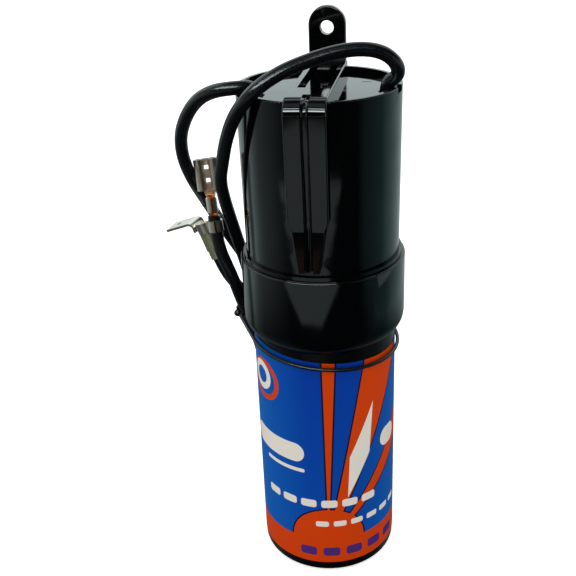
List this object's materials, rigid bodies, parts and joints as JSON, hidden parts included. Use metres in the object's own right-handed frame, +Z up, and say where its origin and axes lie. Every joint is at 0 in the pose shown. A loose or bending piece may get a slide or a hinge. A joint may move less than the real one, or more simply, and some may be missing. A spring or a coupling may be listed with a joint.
{
  "type": "hard start kit",
  "caption": "Motor start capacitor in a round case with a moulded relay housing and screw tab on top, and black leads tied to its side; gives a compressor motor extra starting torque",
  "frame": {"origin": "centre of the flat base of the round case, on the case's axis", "axes": "+Z runs up the case's axis to the screw tab; +Y points from the grooved front of the strap to the screw tab at the back; +X is to the right when seen from the front"},
  "size_m": [0.0784, 0.0579, 0.182],
  "materials": {
    "phenolic_black": "moulded, satin",
    "relay_black": "moulded, smooth",
    "label_print": "printed film, satin",
    "wound_paper": "wound foil and paper",
    "core_board": "plain",
    "foil": "bright",
    "rivet_metal": "bright",
    "seal_rubber": "plain",
    "cover_board": "laminate",
    "tin_brass": "tin plated",
    "copper": "bare stranded copper",
    "resistor_coat": "lacquered",
    "insulation": "smooth vinyl",
    "tie_nylon": "smooth",
    "tray_white": "moulded, satin",
    "pill_ceramic": "fired, with silvered faces",
    "spring_steel": "rolled"
  },
  "bodies": {
    "root": {"capacitor_case": "phenolic_black", "label_wrap": "label_print", "foil_winding": "wound_paper", "winding_core": "core_board", "case_cover": "cover_board", "cover_seal": "seal_rubber", "vent_plug": "seal_rubber", "terminal_rivets": "rivet_metal", "right_blades": "tin_brass", "left_blades": "tin_brass", "foil_tabs": "foil", "bleed_resistor": "resistor_coat", "resistor_wires": "tin_brass", "collar_ring": "relay_black", "relay_housing": "relay_black", "relay_carrier": "phenolic_black", "relay_tray": "tray_white", "ptc_pill": "pill_ceramic", "back_spring": "spring_steel", "front_spring": "spring_steel", "relay_lid": "tray_white", "can_connectors": "tin_brass", "relay_connectors": "tin_brass", "right_lead_tail": "insulation", "left_lead_tail": "insulation", "jumper_wire": "insulation", "left_lead": "insulation", "right_lead": "insulation", "plain_terminal": "tin_brass", "bent_terminal": "tin_brass", "left_lead_end": "insulation", "left_strands": "copper", "right_lead_end": "insulation", "right_strands": "copper", "tie_band": "tie_nylon", "tie_head": "tie_nylon"}
  },
  "joints": []
}
